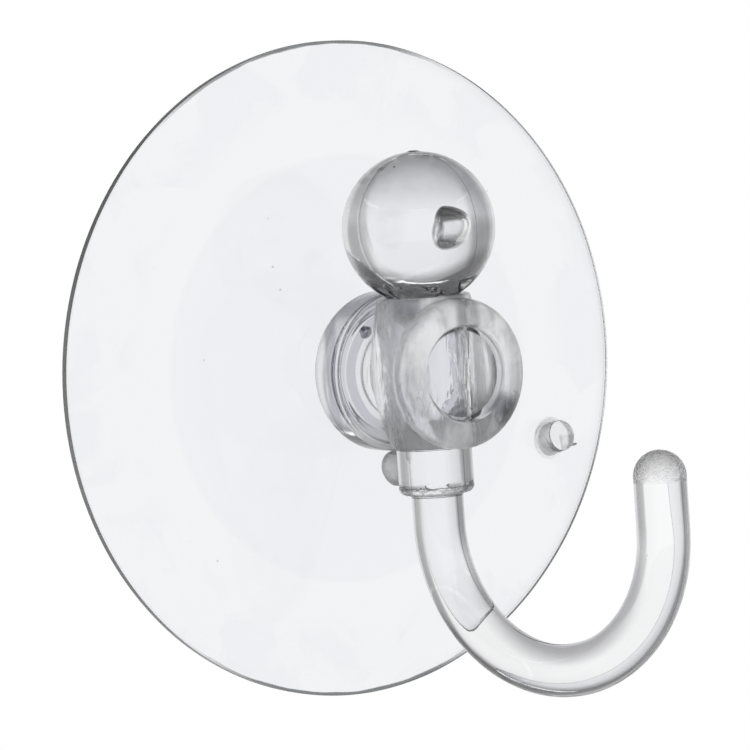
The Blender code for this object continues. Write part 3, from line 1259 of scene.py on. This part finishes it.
    def barrel_reach(self, rise: Array, half: float, end_radius: float) -> Array:
        """The barrel's radius from the head's centre, by the rise of the direction.

        The wall's own radius is its end radius plus its swell times the cosine of a
        quarter turn over the half height, and its end edge is a small arc.

        Args:
            rise: Upward part of unit directions.
            half: The barrel's height above or below the middle.
            end_radius: Its radius at that end.

        Returns:
            The distance to the barrel's surface.
        """
        edge = self.barrel_edge
        heights = np.linspace(0.0, half - edge, 300)
        wall = end_radius + (self.barrel_radius - end_radius) * np.cos(math.pi / 2 * heights / half)
        corner = arc((wall[-1] - edge, heights[-1]), edge, 0, 90, 60)
        end = line((corner[-1, 0], half), (1e-6, half), 200)
        profile = joined(beside(wall, heights), corner, end)
        polar = np.arctan2(profile[:, 1], profile[:, 0])
        even = np.linspace(0.0, math.pi / 2, 2400)
        reach = np.interp(even, polar, np.hypot(profile[:, 0], profile[:, 1]))
        return np.interp(np.arcsin(np.clip(np.abs(rise), 0.0, 1.0)), even, reach)

    def window_profile(self) -> Array:
        """The knob's face and the round window sunk into it.

        Both are flat, and a quarter circle leads from one to the other.

        Returns:
            The points, as (radius, height).
        """
        face = AXIS_HEIGHT + self.knob_reach
        floor = face - self.window_depth
        edge = self.window_edge
        corner = self.window_radius + 2 * edge
        flat = line((self.knob_radius - self.knob_edge - self.face_overlap, face), (corner, face), 5)
        lip = arc((corner, face - edge), edge, 90, 180, 7)
        pan = line((self.window_radius - edge, floor), (0.0, floor), 8)
        return joined(flat, lip, pan)

    def body_skin(self) -> Skin:
        """The whole moulding without its cross hole and peg.

        Near the rim the radius shrinks by a small wave, a sum of four sines of the turn.

        Returns:
            The closed surface.
        """
        base = turned(self.disc_profile(), self.turns)
        radius = np.hypot(base[..., 0], base[..., 2])
        phase = self.rim_wave_phase
        wave = sum(np.sin(k * self.turns + phase * k * k) / 4 for k in self.rim_wave_orders)
        near = np.clip((radius - self.disc_radius + self.rim_wave_run) / self.rim_wave_run, 0.0, 1.0) ** 2
        shrink = 1.0 - self.rim_wave * near * (1.0 + wave[None, :]) / 2 / self.disc_radius
        base[..., [0, 2]] *= shrink[..., None]
        rings = np.concatenate([base, self.head_rings(), turned(self.window_profile(), self.turns)])
        back = np.array([0.0, -self.hollow_depth, 0.0])
        front = np.array([0.0, -(AXIS_HEIGHT + self.knob_reach - self.window_depth), 0.0])
        return skin_of(rings, back, front)

    def peg_skin(self) -> Skin:
        """A short round peg that leans upwards, its root inside the skirt.

        It is turned: the radius falls in a straight line near the root, stays the same up
        to the top, and a quarter circle rounds the edge there.

        Returns:
            The closed surface in the frame's own place.
        """
        root = self.peg_root()
        top = root + self.peg_height
        edge = arc((self.peg_radius - self.peg_edge, top - self.peg_edge), self.peg_edge, 0, 90, 7)
        foot = (self.peg_radius * self.peg_flare, 0.0)
        profile = joined(line(foot, (self.peg_radius, root + self.peg_flare_height), 5), edge)
        rings = turned(profile, full_turn(64))
        return self.on_peg(skin_of(rings, np.zeros(3), np.array([0.0, -top, 0.0])))

    def tail_skin(self) -> Skin:
        """A small tail of flash at the lower right of the peg's face: a slanting ellipsoid.

        Returns:
            The closed surface in the frame's own place.
        """
        face = self.peg_root() + self.peg_height
        centre = np.array([self.tail_place[0], self.tail_depth - face, self.tail_place[1]])
        return self.on_peg(ball_skin(centre, np.array(self.tail_axes), 9, 18))

    def peg_root(self) -> float:
        """How far the peg's root lies inside the skirt."""
        return float(self.skirt_front(self.peg_distance)) / 2

    def on_peg(self, skin: Skin) -> Skin:
        """A skin about the peg's own axis, leant and set in its place.

        Args:
            skin: The surface in the peg's own frame.

        Returns:
            The surface in the frame's own place.
        """
        out, up = self.peg_distance * math.cos(self.peg_angle), self.peg_distance * math.sin(self.peg_angle)
        return skin.moved(Matrix.Rotation(-self.peg_lean, 3, "X"), [out, -self.peg_root(), up])

    def bore_skin(self) -> Skin:
        """The cross hole: a round bar about the upright axis of the head.

        Each ring is a circle of the hole's radius at one height.

        Returns:
            The closed surface.
        """
        turns = full_turn(144)[None, :]
        heights = np.array(self.bore_heights)[:, None]
        side, across = self.bore_radius * np.cos(turns), -AXIS_HEIGHT + self.bore_radius * np.sin(turns)
        ends = (np.array([0.0, -AXIS_HEIGHT, end]) for end in (self.bore_heights[0], self.bore_heights[-1]))
        return skin_of(beside(side, across, heights), *ends)

    def build(self) -> bpy.types.Object:
        """Make the moulding as one solid.

        Returns:
            The finished piece, without its material.
        """
        cup = piece_from("cup_moulding", self.body_skin())
        peg = piece_from("peg_tool", self.peg_skin())
        reshape(peg, piece_from("tail_tool", self.tail_skin()), Operation.ADD)
        reshape(cup, peg, Operation.ADD)
        reshape(cup, piece_from("bore_tool", self.bore_skin()), Operation.CUT)
        take_in(cup, ball_skin(np.array(self.bubble_place), np.eye(3) * self.bubble_radius, 14, 24).inwards())
        shade(cup)
        return cup

    def dress(self, cup: bpy.types.Object) -> None:
        """Give the moulding its plastic and its place among the bodies.

        Args:
            cup: The finished piece.
        """
        # The second colour is painted shade, laid on where the plastic turns away from sight.
        colour, edge_painted_shade = (0.893, 0.898, 0.918), (0.66, 0.665, 0.68)
        finish = SoftPlastic("clear_soft", colour, edge_painted_shade, 1.52, reflection=0.4)
        cup.data.materials.append(finish.make())
        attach(cup, "cup")
        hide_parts("suction_cup")


@dataclass
class SwivelHook:
    """The hard moulding: ball, column, collar with its lug, and the J of round rod."""

    columns: int = 132
    crowd_turns: tuple[float, ...] = (-3.2, -2.1, -1.4, -0.8, -0.3, 0.0, 0.3, 0.8, 1.4, 2.1, 3.2)
    crowd_gap: float = math.radians(4.0)
    ball_radius: float = 0.0097
    ball_height: float = 0.0183239
    ball_foot: float = 0.0096
    column_radius: float = 0.0045
    column_top: float = 0.0094
    collar_radius: float = 0.0048
    collar_top: float = -0.0095
    collar_length: float = 0.0059
    collar_edge: float = 0.0009
    collar_edge_end: float = -84.0
    collar_step: float = 0.00008
    collar_wall: float = 0.0003
    root_fillet: float = 0.0004
    root_start: float = 95.0
    root_end: float = 0.0006
    rod_radius: float = 0.0033
    shank_length: float = 0.0038
    bend_radius: float = 0.0182
    tip_length: float = 0.0065
    groove_depth: float = 0.006
    groove_below: float = 0.0002
    groove_width: float = 0.00022
    lug_reach: float = 0.0089
    lug_height: float = 0.0043
    lug_thickness: float = 0.0026
    lug_middle: float = -0.0122
    lug_start: float = 0.001
    lug_droop: float = 0.12
    line_height: float = 0.00003
    line_width: float = 0.00009
    line_fade: float = 0.002
    line_behind: float = 0.3
    line_in_head: float = 0.12
    gate_height: float = 0.00015
    gate_radius: float = 0.0009
    void_offset: float = 0.0022
    void_half: Triple = (0.00235, 0.0020, 0.0019)
    void_flat: float = 0.45
    void_square: float = 0.15
    void_wave: float = 0.00012
    void_wave_turn: float = 1500.0
    void_right: Triple = (0.8184, -0.5702, -0.0709)
    void_back: Triple = (-0.5649, -0.8211, 0.0823)
    speck_place: Triple = (-0.0044, -0.0213, 0.0262)
    speck_radius: float = 0.00014
    turns: Array = field(init=False)

    def __post_init__(self) -> None:
        """Work out the columns' turns, which crowd together at the parting line."""
        even = full_turn(self.columns)
        marks = np.array([math.pi / 2, 3 * math.pi / 2])
        apart = np.abs(even[:, None] - marks[None, :]).min(axis=1)
        crowd = (marks[:, None] + np.radians(self.crowd_turns)[None, :]).ravel()
        self.turns = np.sort(np.concatenate([even[apart > self.crowd_gap], crowd]))

    def stations(self) -> Array:
        """Stations along the bar as rows of (out, up, direction, radius).

        The ball is a circle of revolution, the column and collar are straight with
        small arcs at their edges, the bend is a half circle and the end a dome.

        Returns:
            The stations between the two poles.
        """
        joint = math.asin(self.column_radius / self.ball_radius)
        t = np.linspace(0.0, math.pi - joint, 96)[1:]
        ball = beside(self.ball_radius * np.sin(t), self.ball_height + self.ball_radius * np.cos(t))
        top, bottom = self.collar_top, self.collar_top - self.collar_length
        column = line((self.column_radius, self.column_top), (self.column_radius, top), 14)
        shoulder = np.array([(self.column_radius, top), (self.collar_radius, top - self.collar_step)])
        corner = (self.collar_radius - self.collar_edge, bottom + self.collar_edge)
        wall = line((self.collar_radius, top - self.collar_wall), (self.collar_radius, corner[1]), 8)
        edge = arc(corner, self.collar_edge, 0, self.collar_edge_end, 12)
        fillet = self.root_fillet
        root = arc((self.rod_radius + fillet, bottom - fillet), fillet, self.root_start, 180, 6)
        straight = joined(ball, column, shoulder, wall, edge, root)
        upright = beside(0.0, straight[:, 1], 0.0, straight[:, 0])

        bend_height = bottom - self.shank_length
        shank_up = np.linspace(bottom - self.root_end, bend_height, 12, endpoint=False)
        shank = beside(0.0, shank_up, 0.0, self.rod_radius)
        t = np.linspace(0.0, math.pi, 190)
        run, drop = self.bend_radius * (1 - np.cos(t)), self.bend_radius * np.sin(t)
        bend = beside(run, bend_height - drop, t, self.rod_radius)
        reach, top = 2 * self.bend_radius, bend_height + self.tip_length
        up = np.linspace(bend_height, top, 18)[1:]
        groove = 1 - self.groove_depth * np.exp(-(((up - top + self.groove_below) / self.groove_width) ** 2))
        tip = beside(reach, up, math.pi, self.rod_radius * groove)
        t = np.linspace(0.0, math.pi / 2, 26)[1:-1]
        dome = beside(reach, top + self.rod_radius * np.sin(t), math.pi, self.rod_radius * np.cos(t))
        return np.vstack([upright, shank, bend, tip, dome])

    def body_skin(self) -> Skin:
        """The bar: each station's ring, raised along the parting line.

        A ring's point is the station plus the radius times (cosine along X, sine across
        the run), and the radius grows by a bell curve of the arc length from the
        parting line, where the two halves of the mould met.

        Returns:
            The closed surface in the hook's own frame.
        """
        out, up, direction, radius = self.stations().T[..., None]
        turns = self.turns[None, :]
        on_ball = up > self.ball_foot
        apart = np.minimum(np.abs(turns - math.pi / 2), np.abs(turns - 3 * math.pi / 2)) * radius
        ridge = self.line_height * np.exp(-((apart / self.line_width) ** 2))
        ridge = ridge * np.clip(radius / self.line_fade, 0.0, 1.0)
        ridge = ridge * np.where(np.sin(turns) < 0.0, np.where(on_ball, 0.0, self.line_behind), 1.0)
        ridge = ridge * np.where(np.abs(up) < self.ball_foot, self.line_in_head, 1.0)
        gate = self.gate_height * np.clip(1.0 - (radius / self.gate_radius) ** 4, 0.0, 1.0)
        gate = np.where(up > self.ball_height, gate, 0.0)
        full = radius + ridge
        across = full * np.sin(turns)
        lift = up + across * np.sin(direction) + gate
        rings = beside(full * np.cos(turns), -out - across * np.cos(direction), lift)
        top = np.array([0.0, 0.0, self.ball_height + self.ball_radius + self.gate_height])
        return skin_of(rings, top, np.array([0.0, -2 * self.bend_radius, self.tip_top()]))

    def tip_top(self) -> float:
        """Height of the rod's round end."""
        return self.collar_top - self.collar_length - self.shank_length + self.tip_length + self.rod_radius

    def lug_skin(self) -> Skin:
        """The lug under the head: a flat dome that points back along the bar's plane.

        Its half thickness and half height fall with the square root of the reach left,
        and its lower side is pulled up towards the tip.

        Returns:
            The closed surface in the hook's own frame.
        """
        t = np.radians(np.linspace(2.0, 90.0, 26))[::-1][:, None]
        turns = full_turn(64)[None, :]
        swell = self.lug_height / 2
        droop = np.where(np.sin(turns) < 0.0, 1.0 + self.lug_droop * np.sin(t) ** 4, 1.0)
        lift = swell * np.sin(t) * np.sin(turns) * droop
        wide = self.lug_thickness / 2 * np.sin(t) * np.cos(turns)
        rings = beside(wide, self.lug_reach - swell + swell * np.cos(t), self.lug_middle + lift)
        stub = rings[0].copy()
        stub[:, 1] = self.lug_start
        mids = np.stack([stub + (rings[0] - stub) * share for share in (0.0, 0.35, 0.7)])
        ends = (np.array([0.0, reach, self.lug_middle]) for reach in (self.lug_start, self.lug_reach))
        return skin_of(np.concatenate([mids, rings]), *ends)

    def void_skin(self) -> Skin:
        """The shrink void in the ball: an egg with one side pressed flat.

        Seen from in front its outline is drawn out towards |u|^4 + |v|^4 = 1.

        Returns:
            The wall of the void in the frame's own place, its faces pointing into it.
        """
        right, back = np.array(self.void_right), np.array(self.void_back)
        right /= np.linalg.norm(right)
        back -= right * (back @ right)
        back /= np.linalg.norm(back)
        up = np.cross(back, right)
        wide, _, high = self.void_half
        centre = np.array([0.0, -AXIS_HEIGHT, self.ball_height])
        skin = ball_skin(np.zeros(3), np.diag(self.void_half), 38, 64)
        points = skin.points.copy()
        flat, tall = np.abs(points[:, 0] / wide), np.abs(points[:, 2] / high)
        square = np.hypot(flat, tall) / np.maximum((flat**4 + tall**4) ** 0.25, 1e-9)
        points[:, [0, 2]] *= (1.0 + (square - 1.0) * self.void_square)[:, None]
        points[:, 0] = np.where(points[:, 0] < 0.0, points[:, 0] * self.void_flat, points[:, 0])
        points[:, 0] += self.void_wave * np.sin(points[:, 2] * self.void_wave_turn)
        points = points @ np.stack([right, back, up]) + centre + right * self.void_offset
        return Skin(points, skin.quads, skin.triangles).inwards()

    def placed(self, skin: Skin) -> Skin:
        """A skin of the hook's own frame, turned to rest and set on the swivel's axis."""
        return skin.moved(Matrix.Rotation(REST_SWIVEL, 3, "Z"), [0.0, -AXIS_HEIGHT, 0.0])

    def build(self) -> bpy.types.Object:
        """Make the moulding as one solid with its void.

        Returns:
            The finished piece, without its material.
        """
        hook = piece_from("hook_moulding", self.placed(self.body_skin()))
        reshape(hook, piece_from("lug_tool", self.placed(self.lug_skin())), Operation.ADD)
        take_in(hook, self.void_skin())
        take_in(hook, ball_skin(np.array(self.speck_place), np.eye(3) * self.speck_radius, 8, 14).inwards())
        shade(hook)
        return hook

    def dress(self, hook: bpy.types.Object) -> None:
        """Give the moulding its plastic and its place among the bodies.

        Args:
            hook: The finished piece.
        """
        # The second colour is painted shade, laid on where the plastic turns away from sight.
        colour, edge_painted_shade = (0.912, 0.914, 0.922), (0.50, 0.50, 0.52)
        finish = HardPlastic("clear_hard", colour, edge_painted_shade, 1.49, edge_shade_span=(0.20, 0.50))
        hook.data.materials.append(finish.make())
        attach(hook, "swivel_hook")
        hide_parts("hook")


@dataclass(frozen=True)
class Studio:
    """Camera, floor and world. A lift is in degrees above the horizon."""

    eye: Triple = (-0.35720, -0.52648, 0.05134)
    right: Triple = (0.81844181, -0.57019522, -0.07092543)
    up: Triple = (0.10514318, 0.0272675, 0.99408319)
    back: Triple = (-0.56488752, -0.82105657, 0.082269)
    lens: float = 236.01
    sensor: float = 36.0
    clip: Span = (0.01, 50.0)
    floor_height: float = -0.25
    floor_radius: float = 1.0
    floor_depth: float = 0.002
    floor_colour: Triple = (0.86, 0.86, 0.87)
    floor_light: float = 0.46
    floor_fade: Span = (0.12, 0.95)
    sector: Zone = Zone(wave=(-0.4, -0.8), out=(0.15, 0.5))
    sector_dim: float = 0.3
    square_on: Span = (0.45, 0.75)
    disc_walls: float = 2.5
    gap: Zone = Zone(wave=(-0.40, -0.80))
    gap_lift: Span = (-14.5, -3.0)
    gap_low: float = 0.6
    gap_dim: float = 0.5
    left_way: Span = (-0.8205, 0.5716)
    left: Zone = Zone(left=(0.20, 0.62), lift=(-14.5, -2.0))
    left_dim: float = 0.26
    wave_raise: float = 3.0
    left_raise: float = 6.0
    board_end: Span = (29.6, 28.6)
    board_fade: Span = (17.0, 28.4)
    board_dim: float = 0.58
    strip: Zone = Zone(lift=(28.6, 29.2, 31.6, 31.0), wave=(0.1, 0.4))
    strip_light: float = 1.6
    top_light: Span = (0.16, 0.25)
    top_lift: Span = (50.0, 75.0)
    key: Zone = Zone(facing=(0.35, 0.80), raised=(29.6, 28.6))
    key_light: float = 0.8

    def camera(self) -> None:
        """Add the camera where the photograph was taken from."""
        data = bpy.data.cameras.new("camera")
        data.sensor_width = self.sensor
        data.lens = self.lens
        data.clip_start, data.clip_end = self.clip
        camera = bpy.data.objects.new("camera", data)
        turn = Matrix((self.right, self.up, self.back)).transposed().to_4x4()
        camera.matrix_world = Matrix.Translation(self.eye) @ turn
        bpy.context.scene.collection.objects.link(camera)
        bpy.context.scene.camera = camera

    def floor(self) -> None:
        """Add a round pale floor that turns into plain white at its far edge."""
        turns = full_turn(96)
        radii = np.linspace(0.0, self.floor_radius, 12)[1:, None]
        rings = beside(radii * np.cos(turns), radii * np.sin(turns), self.floor_height)
        drop = np.array([0.0, 0.0, self.floor_depth])
        centre = np.array([0.0, 0.0, self.floor_height])
        rings = np.concatenate([rings, rings[::-1] - drop])
        floor = piece_from("floor", skin_of(rings, centre, centre - drop))
        material = bpy.data.materials.new("pale_floor")
        material.use_nodes = True
        graph = Graph(material.node_tree)
        here = graph.place()
        here["out"] = length_of(here["side"], here["across"])
        here["wave"] = self.wave(here)
        far = self.floor_light + (1.0 - self.floor_light) * here["out"].ramp(*self.floor_fade)
        sector = self.sector(here) * self.unseen(graph, here["across"] / here["out"])
        matt = graph.node("BsdfDiffuse", {"Color": self.floor_colour}).outputs[0]
        glow = graph.node("Emission", {"Color": WHITE, "Strength": 1.0 - sector * self.sector_dim}).outputs[0]
        mix = graph.node("MixShader", {0: far, 1: matt, 2: glow}).outputs[0]
        graph.node("OutputMaterial", {"Surface": mix})
        floor.data.materials.append(material)

    def unseen(self, graph: Graph, facing: Signal) -> Signal:
        """0 for what is seen straight away or through the disc alone, 1 for other light.

        Args:
            graph: The graph of the world or the floor.
            facing: The share of the direction that is square to the disc.

        Returns:
            The mask.
        """
        path = graph.node("LightPath").outputs
        through = Signal(graph, path["Is Transmission Ray"]) * abs(facing).ramp(*self.square_on)
        disc = through * Signal(graph, path["Transmission Depth"]).math("LESS_THAN", self.disc_walls)
        return (1.0 - Signal(graph, path["Is Camera Ray"])) * (1.0 - disc)

    def wave(self, here: Signals) -> Signal:
        """The cosine of four times the turn from the camera's own direction."""
        start = math.atan2(self.back[1], self.back[0])
        return (here["across"].math("ARCTAN2", here["side"]) * 4.0 - 4.0 * start).math("COSINE")

    def world(self) -> None:
        """A white band round the horizon, a dim gap, a strip of light, a dim top and a soft key light."""
        world = bpy.data.worlds.new("studio")
        bpy.context.scene.world = world
        world.use_nodes = True
        graph = Graph(world.node_tree)
        here = graph.place("Generated")
        side, ahead = here["side"], here["across"]
        lift = here["lift"] = here["up"].math("ARCSINE") * (180.0 / math.pi)
        wave = here["wave"] = self.wave(here)
        left = here["left"] = side * self.left_way[0] + ahead * self.left_way[1]
        raised = here["raised"] = lift + (1.0 - wave) * self.wave_raise + left * self.left_raise
        here["facing"] = side * self.back[0] + ahead * self.back[1]
        unseen = self.unseen(graph, ahead)
        gap = self.gap(here) * (self.gap_low + (1.0 - self.gap_low) * lift.ramp(*self.gap_lift)) * unseen
        board = raised.ramp(*self.board_end) * (1.0 - self.board_dim * raised.ramp(*self.board_fade))
        board = board * (1.0 - gap * self.gap_dim) * (1.0 - self.left(here) * unseen * self.left_dim)
        top = self.top_light[0] + self.top_light[1] * lift.ramp(*self.top_lift)
        path = graph.node("LightPath").outputs
        hidden = [1.0 - Signal(graph, path[kind]) for kind in ("Is Camera Ray", "Is Transmission Ray")]
        key = self.key(here) * hidden[0] * hidden[1] * self.key_light
        above = raised.ramp(*self.board_end[::-1]) * top
        strength = board + above + self.strip(here) * self.strip_light + key
        light = graph.node("Background", {"Color": WHITE, "Strength": strength})
        graph.node("OutputWorld", {"Surface": light.outputs[0]})

    def set_up(self) -> None:
        """Add the whole studio and choose the plain view."""
        bpy.context.scene.view_settings.view_transform = "Standard"
        self.camera()
        self.floor()
        self.world()


def report(obj: bpy.types.Object) -> None:
    """Log a piece's name and its counts."""
    log.info("%s: %d points, %d faces", obj.name, len(obj.data.vertices), len(obj.data.polygons))


def main() -> None:
    """Build the studio and the two mouldings."""
    logging.basicConfig(level=logging.INFO, format="%(message)s")
    Studio().set_up()
    for maker in (SuctionCup(), SwivelHook()):
        piece = maker.build()
        maker.dress(piece)
        report(piece)


if __name__ == "__main__":
    main()
